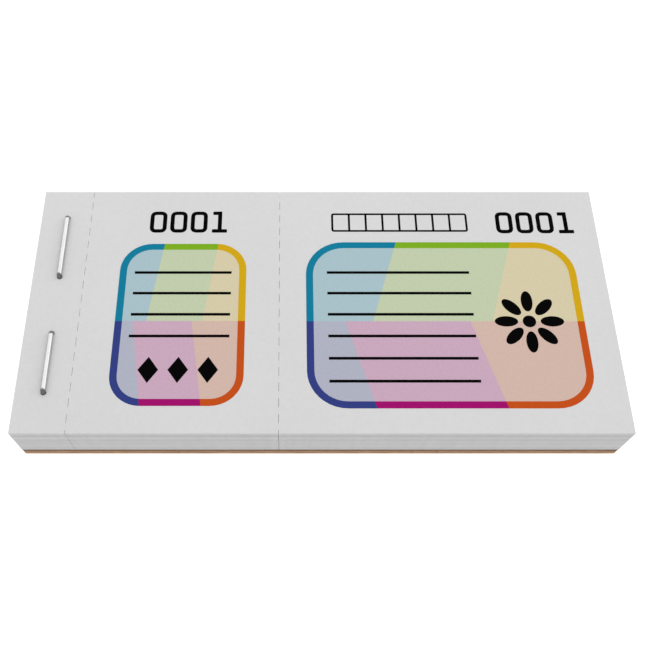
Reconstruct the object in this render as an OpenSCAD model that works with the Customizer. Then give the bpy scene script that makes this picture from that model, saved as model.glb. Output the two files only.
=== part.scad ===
// Stapled book of numbered tickets: perforated leaves on a backing board, bound by two wire staples
// through a margin. Millimetres, +Z up. The origin is the middle of the underside, the width runs
// along X from the bound edge to the free edge, and the front edge faces -Y.

/* [Pad] */
// Width of the pad, from the bound edge to the free edge
pad_w = 105; // [95:1:140]
// Depth of the pad, from the front edge to the back edge
pad_d = 49.5; // [42:0.5:80]
// Thickness of the backing board
board_t = 2.2; // [1.6:0.1:3]

/* [Leaves] */
// Number of leaves in the stack
leaf_count = 50; // [10:1:50]
// Thickness of one leaf
leaf_t = 0.154; // [0.08:0.002:0.2]
// Air between one leaf and the next
leaf_air = 0.01; // [0.005:0.005:0.03]
// Width of the binding margin, from the bound edge to the first perforation
margin_w = 9.4; // [8:0.2:14]
// Width of the stub, from the first perforation to the second
stub_w = 35.8; // [25:0.2:50]

/* [Perforations] */
// Length of one cut
cut_len = 1.65; // [0.8:0.05:2.4]
// Length of the tie between one cut and the next
tie_len = 1.25; // [0.6:0.05:2]
// Width of a cut
cut_w = 0.2; // [0.1:0.05:0.4]
// Length of the cut that the front edge trims off short
front_cut_len = 0.6; // [0.1:0.1:0.8]

/* [Staples] */
// Diameter of the wire
wire_d = 0.95; // [0.5:0.05:1]
// Length of the rear staple's crown, over both legs
rear_crown_len = 13.9; // [10:0.1:16]
// Length of the front staple's crown, over both legs
front_crown_len = 12.3; // [10:0.1:16]
// Distance from the middle of one staple to the middle of the other
staple_spacing = 23.8; // [20:0.1:26]
// Distance of the pair of staples from the middle of the pad, towards the back edge
staple_shift = 0.25; // [-1:0.05:1]
// Distance from the bound edge to the middle of the wire
staple_inset = 4.95; // [3.5:0.05:5.5]
// Inside radius of the wire's bends
bend_r = 0.1; // [0.05:0.05:0.3]
// Length of each leg end that lies clinched under the board
clinch_len = 3.2; // [2:0.1:3.4]
// Depth at which the clinched ends are pressed in behind the underside
clinch_sink = 0.05; // [0.02:0.01:0.2]
// Slant of the cut at the tip of a leg, from square
tip_angle = 35; // [0:5:45]
// Room round the wire in its holes and grooves
wire_clearance = 0.04; // [0.02:0.01:0.15]

/* [Hidden] */
$fn = 48;

// Places along the width, from the middle
bound_x = -pad_w / 2;
free_x = pad_w / 2;
margin_x = bound_x + margin_w;
stub_x = margin_x + stub_w;
staple_x = bound_x + staple_inset;
front_y = -pad_d / 2;

// Heights
leaf_pitch = leaf_t + leaf_air;
stack_top = board_t + leaf_count * leaf_pitch - leaf_air;
crown_z = stack_top + wire_d / 2;
clinch_z = clinch_sink + wire_d / 2;

// Perforation rows
cut_pitch = cut_len + tie_len;
first_cut_y = front_y + front_cut_len - cut_len;
cut_count = ceil((pad_d - front_cut_len + cut_len) / cut_pitch);

// Each staple: its middle along the depth, and the distance from there to its legs
rear_staple = [staple_shift + staple_spacing / 2, (rear_crown_len - wire_d) / 2];
front_staple = [staple_shift - staple_spacing / 2, (front_crown_len - wire_d) / 2];

// Staple wire: its bends, and the holes and grooves that it passes through
bend_mid_r = bend_r + wire_d / 2;
hole_d = wire_d + 2 * (bend_r + wire_clearance);
past = 1;

function leaf_z(k) = board_t + (leaf_count - k) * leaf_pitch;
function leaf_name(k) = str("leaf_", k < 10 ? "0" : "", k);

// The two legs of each staple, as places along the depth
module at_each_leg() {
    for (staple = [rear_staple, front_staple])
        for (side = [-1, 1])
            translate([staple_x, staple[0] + side * staple[1], 0]) children();
}

// A round rod along +Y
module rod_y(length, d) {
    rotate([-90, 0, 0]) cylinder(h = length, d = d);
}

// A row of perforation cuts, whose near edge is at x
module cut_row(x) {
    for (i = [0:cut_count - 1])
        translate([x, first_cut_y + i * cut_pitch]) square([cut_w, cut_len]);
}

// Part of leaf k between two places along the width, with cut rows at the given places. The ties
// of the row along its bound side reach the neighbouring part.
module leaf_panel(k, from_x, to_x, rows) {
    color("whitesmoke")
        translate([0, 0, leaf_z(k)])
            linear_extrude(leaf_t)
                difference() {
                    translate([from_x, front_y]) square([to_x - from_x, pad_d]);
                    for (x = rows) cut_row(x);
                }
}

// Holes for the legs, and a groove under each for its clinched end
module backing_board() {
    color("peru")
        difference() {
            translate([bound_x, front_y, 0]) cube([pad_w, pad_d, board_t]);
            at_each_leg() translate([0, 0, -past]) cylinder(h = board_t + 2 * past, d = hole_d);
            for (staple = [rear_staple, front_staple])
                for (side = [0, 180])
                    translate([staple_x, staple[0], 0]) rotate(side) clinch_groove(staple[1]);
        }
}

// Half-round groove from a leg hole towards the middle of the staple, open to the underside
module clinch_groove(leg_y) {
    start_y = leg_y - bend_mid_r - clinch_len - wire_clearance;
    length = leg_y - start_y;
    translate([0, start_y, clinch_z]) rod_y(length, hole_d);
    translate([-hole_d / 2, start_y, -past]) cube([hole_d, length, clinch_z + past]);
}

// Quarter bend of the wire, from +Y at its start to -Z at its end
module wire_bend() {
    rotate([90, 0, 90]) rotate_extrude(angle = 90) translate([bend_mid_r, 0]) circle(d = wire_d);
}

// One side of a staple: half the crown, a leg through the stack and its clinched end
module staple_half(leg_y) {
    bend_y = leg_y - bend_mid_r;
    translate([0, 0, crown_z]) rod_y(bend_y, wire_d);
    translate([0, bend_y, crown_z - bend_mid_r]) wire_bend();
    translate([0, leg_y, clinch_z + bend_mid_r])
        cylinder(h = crown_z - clinch_z - 2 * bend_mid_r, d = wire_d);
    translate([0, bend_y, clinch_z + bend_mid_r]) mirror([0, 0, 1]) wire_bend();
    translate([0, bend_y - clinch_len, clinch_z])
        difference() {
            rod_y(clinch_len, wire_d);
            translate([0, 0, -wire_d / 2])
                rotate([-tip_angle, 0, 0])
                    translate([-wire_d, -2 * wire_d, -wire_d]) cube([2 * wire_d, 2 * wire_d, 4 * wire_d]);
        }
}

module staple(middle, leg_y) {
    color("silver")
        translate([staple_x, middle, 0]) {
            staple_half(leg_y);
            rotate(180) staple_half(leg_y);
        }
}

module staple_rear() {
    staple(rear_staple[0], rear_staple[1]);
}

module staple_front() {
    staple(front_staple[0], front_staple[1]);
}

// The strip of every leaf that stays under the staples
module margin_strips() {
    color("whitesmoke")
        for (k = [1:leaf_count])
            translate([0, 0, leaf_z(k)])
                difference() {
                    translate([bound_x, front_y, 0]) cube([margin_w, pad_d, leaf_t]);
                    at_each_leg() translate([0, 0, -past]) cylinder(h = leaf_t + 2 * past, d = hole_d);
                }
}

module leaf_01_stub() {
    leaf_panel(1, margin_x, stub_x, [margin_x]);
}

module leaf_01_ticket() {
    leaf_panel(1, stub_x, free_x, [stub_x]);
}

// A lower leaf, from the first perforation to the free edge
module leaf(k) {
    leaf_panel(k, margin_x, free_x, [margin_x, stub_x]);
}

backing_board();
staple_rear();
staple_front();
margin_strips();
leaf_01_stub();
leaf_01_ticket();
for (k = [2:leaf_count])
    leaf(k);
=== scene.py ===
import bpy
import math
import random
from mathutils import Matrix, Vector


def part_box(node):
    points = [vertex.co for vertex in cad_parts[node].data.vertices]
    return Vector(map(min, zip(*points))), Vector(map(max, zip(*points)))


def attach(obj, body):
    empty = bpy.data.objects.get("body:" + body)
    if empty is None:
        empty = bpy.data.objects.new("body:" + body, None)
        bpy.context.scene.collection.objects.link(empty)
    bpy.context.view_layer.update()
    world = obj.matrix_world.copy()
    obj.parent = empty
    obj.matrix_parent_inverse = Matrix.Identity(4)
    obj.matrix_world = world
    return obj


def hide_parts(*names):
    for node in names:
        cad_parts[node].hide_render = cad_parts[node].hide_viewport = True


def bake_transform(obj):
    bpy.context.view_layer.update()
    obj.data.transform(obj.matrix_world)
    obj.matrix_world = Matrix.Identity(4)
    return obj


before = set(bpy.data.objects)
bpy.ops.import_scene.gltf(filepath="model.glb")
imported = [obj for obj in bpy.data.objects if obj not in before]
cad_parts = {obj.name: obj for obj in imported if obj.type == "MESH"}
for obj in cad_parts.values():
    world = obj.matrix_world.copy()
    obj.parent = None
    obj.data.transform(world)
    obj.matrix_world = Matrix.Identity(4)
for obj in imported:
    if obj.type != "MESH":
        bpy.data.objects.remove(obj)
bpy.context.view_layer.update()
scene = bpy.context.scene
mm = 0.001

# places that the solids give
boardLow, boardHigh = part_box("backing_board")
stubLow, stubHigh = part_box("leaf_01_stub")
ticketLow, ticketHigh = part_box("leaf_01_ticket")
boundX, freeX = boardLow.x, boardHigh.x
frontY, backY = boardLow.y, boardHigh.y
marginX, stubX = stubLow.x, ticketLow.x  # the two perforations
leafThickness = stubHigh.z - stubLow.z
leafCount = sum(name.startswith("leaf_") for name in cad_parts) - 1  # the top leaf has two nodes
print("frame loaded:", leafCount, "leaves")


def leafNode(number):
    return "leaf_%02d" % number


def leafTop(number):
    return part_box(leafNode(number))[1].z if number > 1 else stubHigh.z


def onPad(x, y):
    # millimetres from the bound edge and the front edge
    return boundX + x * mm, frontY + y * mm


# hands: picking, copying and joining


def takeUp(*objs):
    bpy.ops.object.select_all(action="DESELECT")
    for obj in objs:
        obj.select_set(True)
    bpy.context.view_layer.objects.active = objs[0]


def editMode(obj):
    takeUp(obj)
    bpy.ops.object.mode_set(mode="EDIT")


def objectMode():
    bpy.ops.object.mode_set(mode="OBJECT")


def pickFaces(obj, wanted):
    # in edit mode, selects only the faces whose middle passes the test
    bpy.context.tool_settings.mesh_select_mode = (False, False, True)
    bpy.ops.mesh.select_all(action="DESELECT")
    objectMode()
    for face in obj.data.polygons:
        face.select = wanted(face.center)
    bpy.ops.object.mode_set(mode="EDIT")


def cutAcross(place, normal):
    # parts the selected faces along a plane; the cuts of a perforation are closer than Blender's usual reach
    bpy.ops.mesh.bisect(plane_co=place, plane_no=normal, threshold=0.001 * mm)


def applyModifier(obj, kind, **values):
    takeUp(obj)
    modifier = obj.modifiers.new(kind.lower(), kind)
    for key, value in values.items():
        setattr(modifier, key, value)
    bpy.ops.object.modifier_apply(modifier=modifier.name)


def copyPiece(obj, name, offset=(0, 0, 0)):
    twin = obj.copy()
    twin.data = obj.data.copy()
    twin.name = name
    twin.data.transform(Matrix.Translation(offset))
    scene.collection.objects.link(twin)
    return twin


def joinPieces(objs, name):
    takeUp(*objs)
    bpy.ops.object.join()
    joined = bpy.context.object
    joined.name = name
    joined.data.name = name
    return joined


def throwAway(*objs):
    for obj in objs:
        bpy.data.objects.remove(obj)


def flatPlate(name, low, high, z):
    bpy.ops.object.select_all(action="DESELECT")
    bpy.ops.mesh.primitive_plane_add(size=1, location=((low[0] + high[0]) / 2, (low[1] + high[1]) / 2, z))
    plate = bpy.context.object
    plate.name = name
    plate.scale = (high[0] - low[0], high[1] - low[1], 1)
    bpy.ops.object.transform_apply(location=True, rotation=True, scale=True)
    return plate


# finishes


def startMaterial(name, values):
    material = bpy.data.materials.new(name)
    material.use_nodes = True
    shader = material.node_tree.nodes["Principled BSDF"]
    for key, value in values.items():
        shader.inputs[key].default_value = value
    return material, material.node_tree, shader


def addNode(tree, kind, inputs=None, **values):
    node = tree.nodes.new(kind)
    for key, value in values.items():
        setattr(node, key, value)
    for key, value in (inputs or {}).items():
        node.inputs[key].default_value = value
    return node


def stretchedNoise(tree, stretch, **inputs):
    # noise on the piece's own place, drawn out along its axes; stretch is in cells per metre
    place = addNode(tree, "ShaderNodeTexCoord")
    mapping = addNode(tree, "ShaderNodeMapping", {"Scale": stretch})
    noise = addNode(tree, "ShaderNodeTexNoise", {"Scale": 1, **inputs})
    tree.links.new(place.outputs["Object"], mapping.inputs["Vector"])
    tree.links.new(mapping.outputs["Vector"], noise.inputs["Vector"])
    return noise.outputs["Fac"]


def heightShare(tree, low, high):
    # 0 at the lower height and 1 at the upper
    place = addNode(tree, "ShaderNodeTexCoord")
    parts = addNode(tree, "ShaderNodeSeparateXYZ")
    share = addNode(tree, "ShaderNodeMapRange", {"From Min": low, "From Max": high})
    tree.links.new(place.outputs["Object"], parts.inputs["Vector"])
    tree.links.new(parts.outputs["Z"], share.inputs["Value"])
    return share.outputs["Result"]


def colourRamp(tree, factor, stops):
    ramp = addNode(tree, "ShaderNodeValToRGB")
    while len(ramp.color_ramp.elements) < len(stops):
        ramp.color_ramp.elements.new(1)
    for element, (place, colour) in zip(ramp.color_ramp.elements, stops):
        element.position = place
        element.color = (*colour, 1)
    tree.links.new(factor, ramp.inputs["Fac"])
    return ramp.outputs["Color"]


def greyRamp(tree, factor, stops):
    return colourRamp(tree, factor, [(place, (value,) * 3) for place, value in stops])


def multiply(tree, one, other, share=1):
    mix = addNode(tree, "ShaderNodeMix", data_type="RGBA", blend_type="MULTIPLY")
    mix.inputs["Factor"].default_value = share
    tree.links.new(one, mix.inputs[6])  # the sockets of a colour mix go by number
    tree.links.new(other, mix.inputs[7])
    return mix.outputs[2]


def addBump(tree, shader, height, strength, distance):
    bump = addNode(tree, "ShaderNodeBump", {"Strength": strength, "Distance": distance})
    tree.links.new(height, bump.inputs["Height"])
    tree.links.new(bump.outputs["Normal"], shader.inputs["Normal"])


paperLook = {
    "shader": {"Roughness": 0.92, "Specular IOR Level": 0.2},
    "dark": 0.61,
    "light": 0.64,
    "fibre": 1600,  # cells per metre
    "tooth": 0.02,  # height of the fibres
    "cloud": 70,
    "cloudShade": 0.975,
}


def uncoatedPaper():
    material, tree, shader = startMaterial("uncoatedPaper", paperLook["shader"])
    fibre = stretchedNoise(tree, (paperLook["fibre"],) * 3, Detail=5, Roughness=0.65)
    cloud = stretchedNoise(tree, (paperLook["cloud"],) * 3, Detail=3)
    tone = greyRamp(tree, fibre, [(0.3, paperLook["dark"]), (0.7, paperLook["light"])])
    shade = greyRamp(tree, cloud, [(0.3, paperLook["cloudShade"]), (0.7, 1)])
    tree.links.new(multiply(tree, tone, shade), shader.inputs["Base Color"])
    addBump(tree, shader, fibre, 0.25, paperLook["tooth"] * mm)
    return material


edgeLook = {
    "shader": {"Roughness": 0.95, "Specular IOR Level": 0.1},
    # painted shade: these tones sit below the paper's own, so that the stack's cut sides come out darker than
    # its top, as the light falls; the tone from leaf to leaf and the knife's drag are the edges' own
    "dark": 0.545,
    "light": 0.612,
    "leaf": (6, 6, 5200),  # cells per metre, so that each leaf is a shade apart
    "knife": (900, 900, 120),  # faint drag of the trimming knife
    "knifeShade": 0.96,
}


def trimmedEdge():
    material, tree, shader = startMaterial("trimmedEdge", edgeLook["shader"])
    leaf = stretchedNoise(tree, edgeLook["leaf"], Detail=1)
    streak = greyRamp(tree, leaf, [(0.3, edgeLook["dark"]), (0.65, edgeLook["light"])])
    knife = stretchedNoise(tree, edgeLook["knife"], Detail=3)
    drag = greyRamp(tree, knife, [(0.35, edgeLook["knifeShade"]), (0.65, 1)])
    tree.links.new(multiply(tree, streak, drag), shader.inputs["Base Color"])
    return material


inkLook = {
    "shader": {"Roughness": 0.8, "Specular IOR Level": 0.03},
    "grain": 2600,  # cells per metre
    "grainShade": 0.93,
}


def printInk():
    material, tree, shader = startMaterial("printInk", inkLook["shader"])
    colour = addNode(tree, "ShaderNodeAttribute", attribute_name="inkColour")
    grain = stretchedNoise(tree, (inkLook["grain"],) * 3, Detail=3)
    film = greyRamp(tree, grain, [(0.3, inkLook["grainShade"]), (0.7, 1)])
    tree.links.new(multiply(tree, colour.outputs["Color"], film), shader.inputs["Base Color"])
    return material


boardLook = {
    "shader": {"Roughness": 0.95, "Specular IOR Level": 0.15},
    # plies from the underside up, as shares of the board's thickness; the dark band along the top is partly
    # the board's own darker ply and partly painted shade, the shadow line under the paper stack
    "pliesAndShade": [(0, (0.49, 0.3, 0.165)), (0.36, (0.45, 0.265, 0.145)), (0.44, (0.26, 0.13, 0.075)),
              (0.52, (0.43, 0.265, 0.155)), (0.72, (0.35, 0.22, 0.135)), (0.84, (0.12, 0.072, 0.048)),
              (1, (0.11, 0.07, 0.05))],
    "fibre": (420, 900, 3000),  # cells per metre
    "fibreShade": [(0.3, 0.6), (0.7, 1.28)],
    "relief": 0.05,  # height of the fibres
    "fleck": (700, 1500, 1500),
    "fleckColour": (0.3, 0.2, 0.13),
    "fleckShare": 0.7,
}


def rawChipboard():
    material, tree, shader = startMaterial("rawChipboard", boardLook["shader"])
    # the height ramp carries the plies and the painted shadow line at the top
    pliesAndShade = colourRamp(tree, heightShare(tree, boardLow.z, boardHigh.z), boardLook["pliesAndShade"])
    fibre = stretchedNoise(tree, boardLook["fibre"], Detail=6, Roughness=0.7)
    base = multiply(tree, pliesAndShade, greyRamp(tree, fibre, boardLook["fibreShade"]))
    fleck = stretchedNoise(tree, boardLook["fleck"], Detail=2)
    flecks = colourRamp(tree, fleck, [(0.27, boardLook["fleckColour"]), (0.36, (1, 1, 1))])
    tree.links.new(multiply(tree, base, flecks, boardLook["fleckShare"]), shader.inputs["Base Color"])
    addBump(tree, shader, fibre, 0.5, boardLook["relief"] * mm)
    return material


wireLook = {
    "shader": {"Metallic": 1},
    "dark": (0.53, 0.535, 0.54),
    "light": (0.63, 0.63, 0.635),
    "drawn": (9000, 350, 9000),  # cells per metre, long on the wire's own way
    "roughness": [(0.3, 0.24), (0.7, 0.14)],
    "relief": 0.01,
    "paintedBendShade": [(0.4, 1), (0.75, 0.45), (1, 0.32)],  # painted shade over the share of a bend, darkening the wire where it turns away from the crown
}


def brightWire():
    material, tree, shader = startMaterial("brightWire", wireLook["shader"])
    drawn = stretchedNoise(tree, wireLook["drawn"], Detail=4)
    tone = colourRamp(tree, drawn, [(0.3, wireLook["dark"]), (0.7, wireLook["light"])])
    bend = addNode(tree, "ShaderNodeAttribute", attribute_name="bendShare")
    # painted shade and reflection: the base colour darkens over the bends
    shadeAtBends = greyRamp(tree, bend.outputs["Fac"], wireLook["paintedBendShade"])
    tree.links.new(multiply(tree, tone, shadeAtBends), shader.inputs["Base Color"])
    tree.links.new(greyRamp(tree, drawn, wireLook["roughness"]), shader.inputs["Roughness"])
    addBump(tree, shader, drawn, 0.2, wireLook["relief"] * mm)
    return material


paper = uncoatedPaper()
cutEdge = trimmedEdge()
ink = printInk()
chipboard = rawChipboard()
wire = brightWire()
print("finishes mixed")

# paper panels with their perforation cuts

perforation = {
    "cut": 1.65,
    "pitch": 2.9,
    "slit": 0.06,
    "frontCut": 0.6,  # what the trim leaves of the first cut
}
fold = {
    "sharpest": 1,  # width past the margin over which the top leaf bends, when it is turned
    "widest": 6,  # and the lowest
    "columns": (0.3, 0.6, 1, 1.6, 2.3, 3.1, 4, 5, 6),
}


def cutSpans():
    y = frontY + (perforation["frontCut"] - perforation["cut"]) * mm
    spans = []
    while y < backY:
        spans.append((y, y + perforation["cut"] * mm))
        y += perforation["pitch"] * mm
    return spans


def finishPaper(piece):
    for material in (paper, cutEdge):
        piece.data.materials.append(material)
    for face in piece.data.polygons:
        # side faces take the trimmed edge finish, whose lower tone is painted shade
        face.material_index = 1 if abs(face.normal.z) < 0.5 else 0


def paperPanel(name, fromX, toX, cutRows, columns, top):
    panel = flatPlate(name, (fromX, frontY), (toX, backY), top)
    editMode(panel)
    slit = perforation["slit"] * mm
    for x in [*columns, *cutRows, *(row + slit for row in cutRows)]:
        bpy.ops.mesh.select_all(action="SELECT")
        cutAcross((x, 0, top), (1, 0, 0))
    spans = cutSpans()
    for y in [y for span in spans for y in span]:
        bpy.ops.mesh.select_all(action="SELECT")
        cutAcross((0, y, top), (0, 1, 0))

    def inCut(place):
        across = any(row < place.x < row + slit for row in cutRows)
        return across and any(low < place.y < high for low, high in spans)

    pickFaces(panel, inCut)
    bpy.ops.mesh.delete(type="FACE")
    objectMode()
    applyModifier(panel, "SOLIDIFY", thickness=leafThickness, offset=-1)
    finishPaper(panel)
    return panel


# printing: films of ink that stand on the paper

printing = {
    "film": 0.006,
    "sunk": 0.002,
    "overprint": 0.003,  # black stands a little higher than the tint under it
    "black": (0.0008, 0.0008, 0.0008),
    "patches": [  # two rows of three colours, from the upper left
        [(0.006, 0.19, 0.31), (0.19, 0.39, 0.015), (0.6, 0.36, 0.008)],
        [(0.032, 0.047, 0.21), (0.33, 0.005, 0.14), (0.515, 0.075, 0.01)],
    ],
    "tintShare": 0.25,  # how much of a patch's colour its tint keeps
    "dotGain": 2.2,  # ink dots spread in the paper, so that a tint is deeper than its share
    "cornerSteps": 10,
}


def tintOf(colour):
    share, gain = printing["tintShare"], printing["dotGain"]
    white = paperLook["light"] ** (1 / gain)
    return tuple((share * part ** (1 / gain) + (1 - share) * white) ** gain for part in colour)


def thicken(plate):
    # gives a flat plate the thickness of ink, with its underside just in the paper
    applyModifier(plate, "SOLIDIFY", thickness=(printing["film"] + printing["sunk"]) * mm, offset=-1)


def layInk(plate, colourAt):
    plate.data.materials.clear()
    plate.data.materials.append(ink)
    colours = plate.data.attributes.new("inkColour", "FLOAT_COLOR", "FACE")
    for face, entry in zip(plate.data.polygons, colours.data):
        entry.color = (*colourAt(face.center), 1)
    return plate


def inkFilm(plate, colourAt):
    thicken(plate)
    return layInk(plate, colourAt)


def blackInk(place):
    return printing["black"]


def roundedPlate(name, low, high, radius, z):
    plate = flatPlate(name, onPad(*low), onPad(*high), z)
    editMode(plate)
    bpy.ops.mesh.select_all(action="SELECT")
    bpy.ops.mesh.bevel(offset=radius * mm, segments=printing["cornerSteps"], affect="VERTICES")
    objectMode()
    return plate


frames = {
    "stroke": 1.3,
    # where one colour meets the next, along the upper and the lower edge, as shares of the width
    "columns": ((0.34, 0.77), (0.24, 0.69)),
    "slant": 0.1,  # how far those colour edges run back on their way to the middle
    "stub": {"low": (15.9, 4.95), "high": (39.15, 37.6), "radius": 5.7},
    "ticket": {"low": (50.1, 4.5), "high": (99.75, 37.95), "radius": 7},
}


def patchEdges(low, high):
    # the middle height, and for each row the slanted lines that part its patches
    middle = (low[1] + high[1]) / 2
    rise = (high[1] - low[1]) / 2
    edges = []
    for way, columns in zip((1, -1), frames["columns"]):
        line = Vector((frames["slant"] * (high[0] - low[0]), way * rise)).normalized()
        across = Vector((abs(line.y), -way * line.x))
        outer = middle + way * rise
        starts = [Vector((low[0] + share * (high[0] - low[0]), outer)) for share in columns]
        edges.append([(start, across) for start in starts])
    return middle, edges


def cutPatches(plate, middle, edges):
    editMode(plate)
    bpy.ops.mesh.select_all(action="SELECT")
    cutAcross((0, middle, 0), (0, 1, 0))
    for upper, lines in zip((True, False), edges):
        for start, across in lines:
            pickFaces(plate, lambda place: (place.y > middle) == upper)
            cutAcross((*start, 0), (*across, 0))
    objectMode()


def colourFrame(name, z):
    low, high, radius = (frames[name][key] for key in ("low", "high", "radius"))
    stroke = frames["stroke"]
    middle, edges = patchEdges(onPad(*low), onPad(*high))

    def patch(place):
        row = 0 if place.y > middle else 1
        column = sum((place.xy - start).dot(across) > 0 for start, across in edges[row])
        return printing["patches"][row][column]

    ring = roundedPlate(name + "Ring", low, high, radius, z)
    editMode(ring)
    bpy.ops.mesh.select_all(action="SELECT")
    bpy.ops.mesh.inset(thickness=stroke * mm)
    bpy.ops.mesh.delete(type="FACE")
    objectMode()
    cutPatches(ring, middle, edges)
    inkFilm(ring, patch)
    innerLow, innerHigh = [low[0] + stroke, low[1] + stroke], [high[0] - stroke, high[1] - stroke]
    fill = roundedPlate(name + "Fill", innerLow, innerHigh, radius - stroke, z)
    cutPatches(fill, middle, edges)
    inkFilm(fill, lambda place: tintOf(patch(place)))
    return [ring, fill]


rules = {
    "thickness": 0.55,
    "first": 31.35,
    "pitch": 4.36,
    "stub": {"count": 4, "span": (18.65, 36.45)},
    "ticket": {"count": 6, "span": (53.95, 80.1)},
}


def ruledLines(name, z):
    start, end = rules[name]["span"]
    half = rules["thickness"] / 2
    lines = []
    for i in range(rules[name]["count"]):
        y = rules["first"] - i * rules["pitch"]
        line = flatPlate("rule", onPad(start, y - half), onPad(end, y + half), z)
        lines.append(inkFilm(line, blackInk))
    return lines


writingField = {"low": (55.0, 40.3), "high": (80.8, 44.5), "cells": 8, "radius": 0.5, "stroke": 0.4}


def cellField(z):
    # an outlined field that upright lines part into cells, one for each written character
    low, high = writingField["low"], writingField["high"]
    half = writingField["stroke"] / 2
    field = roundedPlate("field", low, high, writingField["radius"], z)
    editMode(field)
    bpy.ops.mesh.select_all(action="SELECT")
    bpy.ops.mesh.inset(thickness=half * mm)
    (left, bottom), (right, top) = onPad(low[0] + half, low[1]), onPad(high[0] - half, high[1])

    def inside(place):
        return left < place.x < right and abs(place.y - (bottom + top) / 2) < (top - bottom) / 4

    for i in range(1, writingField["cells"]):
        pickFaces(field, inside)
        cutAcross((left + (right - left) * i / writingField["cells"], 0, z), (1, 0, 0))
    pickFaces(field, inside)
    bpy.ops.mesh.inset(thickness=half * mm, use_individual=True)
    bpy.ops.mesh.delete(type="FACE")
    objectMode()
    return inkFilm(field, blackInk)


rosette = {
    "middle": (89.9, 21.2),
    "petals": 8,
    "inner": 2.0,
    "outer": 6.2,
    "petalWidth": 2.1,
    "eye": 2.4,
    "sides": 24,
}


def discPlate(name, middle, width, height, corners, z):
    x, y = onPad(*middle)
    bpy.ops.object.select_all(action="DESELECT")
    bpy.ops.mesh.primitive_circle_add(vertices=corners, radius=0.5, fill_type="NGON", location=(x, y, z))
    disc = bpy.context.object
    disc.name = name
    disc.scale = (width * mm, height * mm, 1)
    bpy.ops.object.transform_apply(location=True, rotation=True, scale=True)
    return disc


def petalRosette(z):
    middleX, middleY = rosette["middle"]
    centre = Vector((*onPad(middleX, middleY), z))
    length = rosette["outer"] - rosette["inner"]
    petals = []
    petalX = middleX + (rosette["inner"] + rosette["outer"]) / 2
    for i in range(rosette["petals"]):
        petal = discPlate("petal", (petalX, middleY), length, rosette["petalWidth"], rosette["sides"], z)
        turn = Matrix.Rotation(2 * math.pi * i / rosette["petals"], 4, "Z")
        petal.data.transform(Matrix.Translation(centre) @ turn @ Matrix.Translation(-centre))
        petals.append(inkFilm(petal, blackInk))
    eye = discPlate("eye", rosette["middle"], rosette["eye"], rosette["eye"], rosette["sides"], z)
    return [*petals, inkFilm(eye, blackInk)]


diamonds = {"middle": (27.7, 11.7), "count": 3, "pitch": 5.2, "width": 3.6, "height": 5.0}


def diamondRow(z):
    middleX, middleY = diamonds["middle"]
    row = []
    for i in range(diamonds["count"]):
        x = middleX + (i - (diamonds["count"] - 1) / 2) * diamonds["pitch"]
        diamond = discPlate("diamond", (x, middleY), diamonds["width"], diamonds["height"], 4, z)
        row.append(inkFilm(diamond, blackInk))
    return row


# serial numbers, in plain squared figures

figures = {
    "width": 2.42,  # between the middles of the strokes
    "height": 4.02,
    "stroke": 0.78,
    "radius": 0.8,
    "cornerSteps": 6,
    "endRadius": 0.18,
    "endSteps": 5,
    "pitch": 3.85,
    "stubPlace": (21.06, 40.5),
    "ticketPlace": (86.55, 40.35),
}
# each stroke of a figure is a run of corners, in shares of the figure's width and height
figureStrokes = {
    "0": [[(0, 0), (1, 0), (1, 1), (0, 1), (0, 0)]],
    "1": [[(-0.02, 1), (0.69, 1)], [(0.53, 1.1), (0.53, 0)], [(-0.07, 0), (1.11, 0)]],
    "2": [[(0, 1), (1, 1), (1, 0.5), (0, 0.5), (0, 0), (1, 0)]],
    "3": [[(0, 1), (1, 1), (1, 0), (0, 0)], [(0.25, 0.52), (1, 0.52)]],
    "4": [[(0, 1.1), (0, 0.26)], [(-0.16, 0.36), (1.16, 0.36)], [(0.74, 0.7), (0.74, -0.1)]],
    "5": [[(1, 1), (0, 1), (0, 0.55), (1, 0.55), (1, 0), (0, 0)]],
    "6": [[(1, 1), (0, 1), (0, 0), (1, 0), (1, 0.54), (0, 0.54)]],
    "7": [[(-0.16, 1), (1.16, 1)], [(1, 1), (0.4, -0.1)]],
    "8": [[(0, 0), (1, 0), (1, 1), (0, 1), (0, 0)], [(0, 0.53), (1, 0.53)]],
    "9": [[(0, 0), (1, 0), (1, 1), (0, 1), (0, 0.46), (1, 0.46)]],
}


def roundCorners(corners, radius, closed):
    # a run of points with each corner turned in an even curve
    points = [] if closed else [corners[0]]
    count = len(corners)
    for i in range(count) if closed else range(1, count - 1):
        before, corner, after = corners[i - 1], corners[i], corners[(i + 1) % count]
        back, on = before - corner, after - corner
        reach = min(radius, back.length / 2, on.length / 2)
        start, end = corner + back.normalized() * reach, corner + on.normalized() * reach
        for step in range(figures["cornerSteps"] + 1):
            t = step / figures["cornerSteps"]
            points.append(start * (1 - t) ** 2 + corner * (2 * t * (1 - t)) + end * t ** 2)
    return points if closed else [*points, corners[-1]]


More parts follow.
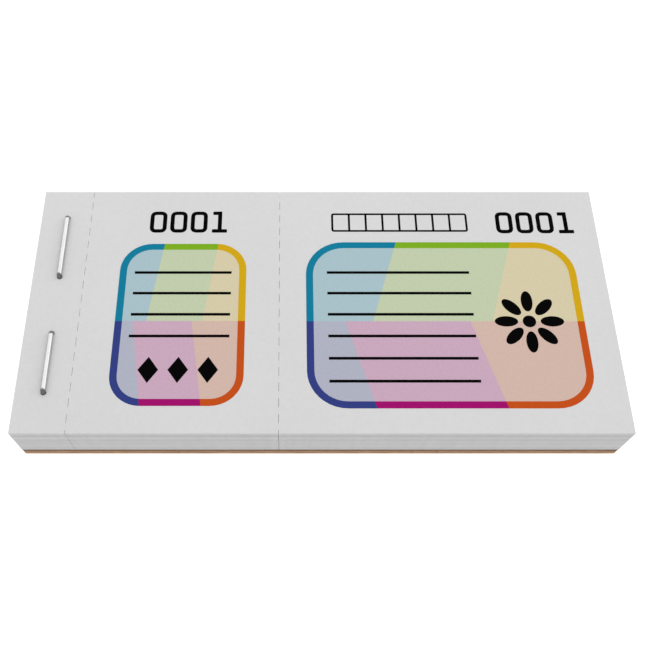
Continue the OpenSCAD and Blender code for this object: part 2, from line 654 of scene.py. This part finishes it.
def strokeRibbon(points, closed):
    # a flat ribbon: a curve along the stroke, with a straight line for its section
    section = bpy.data.curves.new("strokeSection", "CURVE")
    line = section.splines.new("POLY")
    line.points.add(1)
    for point, side in zip(line.points, (-0.5, 0.5)):
        point.co = (side * figures["stroke"] * mm, 0, 0, 1)
    sectionObj = bpy.data.objects.new("strokeSection", section)
    scene.collection.objects.link(sectionObj)
    curve = bpy.data.curves.new("stroke", "CURVE")
    curve.dimensions = "2D"
    curve.fill_mode = "NONE"
    curve.bevel_mode = "OBJECT"
    curve.bevel_object = sectionObj
    spline = curve.splines.new("POLY")
    spline.points.add(len(points) - 1)
    for point, place in zip(spline.points, points):
        point.co = (*place, 0, 1)
    spline.use_cyclic_u = closed
    ribbon = bpy.data.objects.new("stroke", curve)
    scene.collection.objects.link(ribbon)
    takeUp(ribbon)
    bpy.ops.object.convert(target="MESH")
    throwAway(sectionObj)
    editMode(ribbon)
    bpy.ops.mesh.select_all(action="SELECT")
    bpy.ops.mesh.remove_doubles(threshold=0.001 * mm)
    if ribbon.data.polygons[0].normal.z < 0:
        bpy.ops.mesh.flip_normals()
    objectMode()
    return ribbon


def roundEnds(ribbon):
    # the corners of a ribbon's ends are the ones that only one face has
    uses = [corner for face in ribbon.data.polygons for corner in face.vertices]
    editMode(ribbon)
    bpy.context.tool_settings.mesh_select_mode = (True, False, False)
    bpy.ops.mesh.select_all(action="DESELECT")
    objectMode()
    for vertex in ribbon.data.vertices:
        vertex.select = uses.count(vertex.index) == 1
    bpy.ops.object.mode_set(mode="EDIT")
    bpy.ops.mesh.bevel(offset=figures["endRadius"] * mm, segments=figures["endSteps"], affect="VERTICES")
    objectMode()


def figurePlate(figure):
    strokes = []
    for run in figureStrokes[figure]:
        corners = [Vector((x * figures["width"] * mm, y * figures["height"] * mm)) for x, y in run]
        closed = run[0] == run[-1]
        points = roundCorners(corners[:-1] if closed else corners, figures["radius"] * mm, closed)
        ribbon = strokeRibbon(points, closed)
        if not closed:
            roundEnds(ribbon)
        thicken(ribbon)
        strokes.append(ribbon)
    plate, *others = strokes
    for other in others:
        applyModifier(plate, "BOOLEAN", operation="UNION", object=other, solver="EXACT")
        throwAway(other)
    plate.name = "figure" + figure
    return layInk(plate, blackInk)


figurePlates = {figure: figurePlate(figure) for figure in figureStrokes}


def serialNumber(number, place, z):
    x, y = onPad(*place)
    placed = []
    for i, figure in enumerate("%04d" % number):
        offset = (x + i * figures["pitch"] * mm, y, z)
        placed.append(copyPiece(figurePlates[figure], "figure", offset))
    return placed


print("figures cut")

# how a leaf part's surfaces lie on one square, where thin edges and colours keep to themselves when baked

sheetMap = {
    "name": "OFBake",
    "gap": 1.5 / 512,  # round each colour
    "rows": 4,  # front, back, bound and free edges
    "rowShare": 0.7,  # how much of its row an edge takes
    "blackBelow": 0.01,
    # the corners of the field that each kind of surface takes
    "ink": ((0.01, 0.55), (0.99, 0.99)),
    "paper": ((0.01, 0.09), (0.99, 0.53)),
    "black": ((0.01, 0.01), (0.2, 0.07)),
    "edges": ((0.23, 0.01), (0.99, 0.07)),
}


def inField(kind, across, up):
    (left, low), (right, high) = sheetMap[kind]
    return Vector((left + across * (right - left), low + up * (high - low)))


def drawIn(places):
    # moves a face's corners in from its border by the gap, along both axes
    for axis in (0, 1):
        low, high = min(place[axis] for place in places), max(place[axis] for place in places)
        middle, half = (low + high) / 2, (high - low) / 2
        share = max(half - sheetMap["gap"], half / 4) / half if half else 1
        for place in places:
            place[axis] = middle + (place[axis] - middle) * share


def fillField(kind, places):
    # stretches a face over a whole field, for a colour that is the same all over
    (left, low), (right, high) = sheetMap[kind]
    for axis, start, end in ((0, left, right), (1, low, high)):
        least, most = min(place[axis] for place in places), max(place[axis] for place in places)
        for place in places:
            share = (place[axis] - least) / (most - least) if most > least else 0.5
            place[axis] = start + share * (end - start)


def layMap(piece, fromX, toX, top):
    mesh = piece.data
    layer = mesh.uv_layers.new(name=sheetMap["name"])
    mesh.uv_layers.active = layer
    colours = mesh.attributes["inkColour"].data
    for face in mesh.polygons:
        material = mesh.materials[face.material_index]
        places = []
        for corner in face.vertices:
            x, y, z = mesh.vertices[corner].co
            across, along = (x - fromX) / (toX - fromX), (y - frontY) / (backY - frontY)
            if material == cutEdge:
                lengthways = abs(face.normal.y) > abs(face.normal.x)
                row = (face.normal.y > 0) if lengthways else 2 + (face.normal.x > 0)
                height = (top - z) / leafThickness * sheetMap["rowShare"]
                up = (row + height) / sheetMap["rows"]
                places.append(inField("edges", across if lengthways else along, up))
            elif material == paper:
                places.append(inField("paper", across, along))
            else:
                places.append(inField("ink", across, along))
        if material == ink and max(colours[face.index].color[:3]) < sheetMap["blackBelow"]:
            fillField("black", places)
        elif material == ink:
            drawIn(places)
        for loop, place in zip(face.loop_indices, places):
            layer.data[loop].uv = place


# the top leaf in two parts, then the leaves below it

filmTop = leafTop(1) + printing["film"] * mm
blackTop = filmTop + printing["overprint"] * mm
stubPrint = joinPieces([*colourFrame("stub", filmTop), *ruledLines("stub", blackTop),
                        *diamondRow(blackTop)], "stubPrint")
ticketPrint = joinPieces([*colourFrame("ticket", filmTop), *ruledLines("ticket", blackTop),
                          cellField(filmTop), *petalRosette(blackTop)], "ticketPrint")
print("printing plates made")

foldColumns = [marginX + x * mm for x in fold["columns"]]
lowerStub = joinPieces([paperPanel("lowerStub", marginX, stubX, [marginX], foldColumns, leafTop(1)),
                        copyPiece(stubPrint, "print")], "lowerStub")
lowerTicket = joinPieces([paperPanel("lowerTicket", stubX, freeX, [stubX], [], leafTop(1)),
                          copyPiece(ticketPrint, "print")], "lowerTicket")
topStub = joinPieces([paperPanel("topStub", marginX, stubX, [marginX], [], leafTop(1)), stubPrint,
                      *serialNumber(1, figures["stubPlace"], filmTop)], "topStub")
topTicket = joinPieces([paperPanel("topTicket", stubX, freeX, [stubX], [], leafTop(1)), ticketPrint,
                        *serialNumber(1, figures["ticketPlace"], filmTop)], "topTicket")
layMap(topStub, marginX, stubX, leafTop(1))
layMap(topTicket, stubX, freeX, leafTop(1))
for piece, node, body in ((topStub, "leaf_01_stub", "top_stub"), (topTicket, "leaf_01_ticket", "top_ticket")):
    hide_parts(node)
    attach(piece, body)

trimming = {"seed": 11, "slack": 0.025}  # leaves lie a little out of line with each other
trim = random.Random(trimming["seed"])
trimSlack = trimming["slack"] * mm
leafShift = {1: (0, 0)}
for number in range(2, leafCount + 1):
    leafShift[number] = (trim.uniform(-trimSlack, trimSlack), trim.uniform(-trimSlack, trimSlack))
    drop = leafTop(number) - leafTop(1)
    node = leafNode(number)
    parts = {}
    for side, panel, ends in (("Stub", lowerStub, (marginX, stubX)), ("Ticket", lowerTicket, (stubX, freeX))):
        part = copyPiece(panel, node.replace("_", "") + side, (0, 0, drop))
        figuresHere = serialNumber(number, figures[side.lower() + "Place"], filmTop + drop)
        part = joinPieces([part, *figuresHere], part.name)
        layMap(part, *ends, leafTop(number))
        part.data.transform(Matrix.Translation((*leafShift[number], 0)))
        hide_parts(node)
        parts[side] = part
    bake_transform(parts["Stub"])
    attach(parts["Ticket"], node)
throwAway(lowerStub, lowerTicket, *figurePlates.values())
print("leaves printed and stacked")

# staples

stapleLow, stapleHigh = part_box("staple_rear")
staple = {
    "bend": 0.1,  # inside radius
    "clinch": 3.2,
    "room": 0.04,  # round the wire in its holes and grooves
    "sides": 24,
    "bendSteps": 10,
    "paintedShadeReach": 0.25,  # how far the painted bend shade runs to a point along the crown
}
wireRadius = (stapleHigh.x - stapleLow.x) / 2
stapleX = (stapleHigh.x + stapleLow.x) / 2
crownZ, clinchZ = stapleHigh.z - wireRadius, stapleLow.z + wireRadius
bendRadius = wireRadius + staple["bend"] * mm
upright, lengthwise = (0, 0, 0), (math.pi / 2, 0, 0)


def drawWire(step):
    bpy.ops.mesh.extrude_region_move(TRANSFORM_OT_translate={"value": step})


def bendWire(y, z):
    bpy.ops.mesh.spin(steps=staple["bendSteps"], angle=math.pi / 2, center=(stapleX, y, z), axis=(1, 0, 0))


def bentStaple(name, node):
    low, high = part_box(node)
    nearY, farY = low.y + wireRadius + bendRadius, high.y - wireRadius - bendRadius
    clinch, crown = staple["clinch"] * mm, farY - nearY
    leg, shadeReach = crownZ - clinchZ - 2 * bendRadius, staple["paintedShadeReach"] * mm
    bpy.ops.object.select_all(action="DESELECT")
    bpy.ops.mesh.primitive_circle_add(vertices=staple["sides"], radius=wireRadius, rotation=lengthwise,
                                      location=(stapleX, nearY + clinch, clinchZ))
    bent = bpy.context.object
    bent.name = name
    bpy.ops.object.transform_apply(location=True, rotation=True, scale=True)
    editMode(bent)
    bpy.context.tool_settings.mesh_select_mode = (True, False, False)
    bpy.ops.mesh.select_all(action="SELECT")
    drawWire((0, -clinch, 0))
    bendWire(nearY, clinchZ + bendRadius)
    drawWire((0, 0, leg))
    bendWire(nearY, crownZ - bendRadius)
    for step in (shadeReach, crown - 2 * shadeReach, shadeReach):
        drawWire((0, step, 0))
    bendWire(farY, crownZ - bendRadius)
    drawWire((0, 0, -leg))
    bendWire(farY, clinchZ + bendRadius)
    drawWire((0, -clinch, 0))
    bpy.ops.mesh.select_all(action="SELECT")
    bpy.ops.mesh.remove_doubles(threshold=0.001 * mm)
    bpy.ops.mesh.select_all(action="DESELECT")
    bpy.context.tool_settings.mesh_select_mode = (False, True, False)
    bpy.ops.mesh.select_non_manifold()
    bpy.ops.mesh.fill_holes(sides=0)
    bpy.ops.mesh.select_all(action="SELECT")
    bpy.ops.mesh.normals_make_consistent(inside=False)
    objectMode()
    bpy.ops.object.shade_smooth_by_angle(angle=math.radians(40))
    # painted shade: the wire's colour is darkened where it bends away from the crown, standing in for the
    # shade and dark reflections at the bends
    share = bent.data.attributes.new("bendShare", "FLOAT", "POINT")
    for vertex, entry in zip(bent.data.vertices, share.data):
        past = max(nearY - vertex.co.y, vertex.co.y - farY)
        point = shadeReach * (1 - abs(vertex.co.x - stapleX) / wireRadius)
        entry.value = min(max(past + point, 0) / bendRadius, 1) if vertex.co.z > boardHigh.z else 0
    bent.data.materials.append(wire)
    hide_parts(node)
    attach(bent, "bound_pad")


bentStaple("stapleRear", "staple_rear")
bentStaple("stapleFront", "staple_front")
print("staples bent and clinched")

# bound margin strips and the backing board, with holes for the wire

wireRoom = staple["room"] * mm


def rodCutter(place, rotation, length, radius):
    bpy.ops.object.select_all(action="DESELECT")
    bpy.ops.mesh.primitive_cylinder_add(vertices=staple["sides"], radius=radius, depth=length,
                                        location=place, rotation=rotation)
    rod = bpy.context.object
    bpy.ops.object.transform_apply(location=True, rotation=True, scale=True)
    return rod


def cutAway(piece, cutter):
    applyModifier(piece, "BOOLEAN", operation="DIFFERENCE", object=cutter, solver="EXACT")
    throwAway(cutter)


legPlaces = []
for node in ("staple_rear", "staple_front"):
    low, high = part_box(node)
    legPlaces += [(low.y + wireRadius, 1), (high.y - wireRadius, -1)]  # and the way that each end is clinched


def boundStrip():
    strip = flatPlate("strip", (boundX, frontY), (marginX, backY), leafTop(1))
    applyModifier(strip, "SOLIDIFY", thickness=leafThickness, offset=-1)
    for y, way in legPlaces:
        place = (stapleX, y, leafTop(1))
        cutAway(strip, rodCutter(place, upright, 4 * leafThickness, wireRadius + wireRoom))
    finishPaper(strip)
    return strip


strip = boundStrip()
strips = []
for number in range(1, leafCount + 1):
    offset = (*leafShift[number], leafTop(number) - leafTop(1))
    strips.append(copyPiece(strip, "strip", offset))
throwAway(strip)
marginStrips = joinPieces(strips, "marginStrips")
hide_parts("margin_strips")
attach(marginStrips, "bound_pad")
print("margin strips bound")

board = {"edge": 0.12, "edgeSteps": 2}


def chipboardBack():
    bpy.ops.object.select_all(action="DESELECT")
    bpy.ops.mesh.primitive_cube_add(size=1, location=(boardLow + boardHigh) / 2)
    back = bpy.context.object
    back.name = "backingBoard"
    back.scale = boardHigh - boardLow
    bpy.ops.object.transform_apply(location=True, rotation=True, scale=True)
    applyModifier(back, "BEVEL", width=board["edge"] * mm, segments=board["edgeSteps"])
    holeRadius = wireRadius + staple["bend"] * mm + wireRoom
    groove = staple["clinch"] * mm + bendRadius + wireRoom
    for y, way in legPlaces:
        cutAway(back, rodCutter((stapleX, y, boardHigh.z / 2), upright, 2 * boardHigh.z, holeRadius))
        place = (stapleX, y + way * groove / 2, clinchZ)
        cutAway(back, rodCutter(place, lengthwise, groove, holeRadius))
    back.data.materials.append(chipboard)
    return back


backingBoard = chipboardBack()
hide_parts("backing_board")
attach(backingBoard, "bound_pad")
print("board cut")

# camera, floor and light

view = {
    "place": (-5.57, -72.75, 141.15),
    "tilt": 26.12,
    "lens": 46.25,
    "sensor": 36,
    "shift": (0.0525, 0.0379),
    "nearest": 5,
}
cameraData = bpy.data.cameras.new("camera")
cameraData.lens = view["lens"]
cameraData.sensor_width = view["sensor"]
cameraData.shift_x, cameraData.shift_y = view["shift"]
cameraData.clip_start = view["nearest"] * mm
camera = bpy.data.objects.new("camera", cameraData)
camera.location = Vector(view["place"]) * mm
camera.rotation_euler = (math.radians(view["tilt"]), 0, 0)
scene.collection.objects.link(camera)
scene.camera = camera

studio = {
    "horizon": 0.74,
    "zenith": 0.78,
    "panels": {
        "overhead": {"place": (0.45, 0.3, 0.5), "aim": (0, -0.3, -0.5), "size": (2.4, 0.8), "power": 4.3},
        "side": {"place": (0.9, 0.55, 0.26), "aim": (-1, -0.5, 0), "size": (0.8, 0.52), "power": 0.95},
    },
    "floor": 6,
    "floorTone": [(0.3, 0.38), (0.7, 0.4)],
    "floorGrain": 40,  # cells per metre
    "floorGlow": 0.8,
}


def studioFloor():
    white = (1, 1, 1, 1)
    values = {"Roughness": 0.9, "Emission Color": white, "Emission Strength": studio["floorGlow"]}
    material, tree, shader = startMaterial("studioFloor", values)
    grain = stretchedNoise(tree, (studio["floorGrain"],) * 3, Detail=2)
    tree.links.new(greyRamp(tree, grain, studio["floorTone"]), shader.inputs["Base Color"])
    return material


bpy.ops.object.select_all(action="DESELECT")
bpy.ops.mesh.primitive_plane_add(size=studio["floor"], location=(0, 0, boardLow.z))
floor = bpy.context.object
floor.name = "floor"
floor.data.materials.append(studioFloor())

world = bpy.data.worlds.new("studio")
world.use_nodes = True
sky = world.node_tree
direction = addNode(sky, "ShaderNodeTexCoord")
height = addNode(sky, "ShaderNodeSeparateXYZ")
sky.links.new(direction.outputs["Generated"], height.inputs["Vector"])
brightness = addNode(sky, "ShaderNodeMapRange", {"To Min": studio["horizon"], "To Max": studio["zenith"]})
sky.links.new(height.outputs["Z"], brightness.inputs["Value"])
sky.links.new(brightness.outputs["Result"], sky.nodes["Background"].inputs["Color"])
scene.world = world

for name, panel in studio["panels"].items():
    lampData = bpy.data.lights.new(name, "AREA")
    lampData.energy = panel["power"]
    lampData.shape = "RECTANGLE"
    lampData.size, lampData.size_y = panel["size"]
    lamp = bpy.data.objects.new(name, lampData)
    lamp.location = panel["place"]
    lamp.rotation_euler = Vector(panel["aim"]).to_track_quat("-Z", "Y").to_euler()
    scene.collection.objects.link(lamp)
scene.view_settings.view_transform = "Standard"
print("camera and light set")
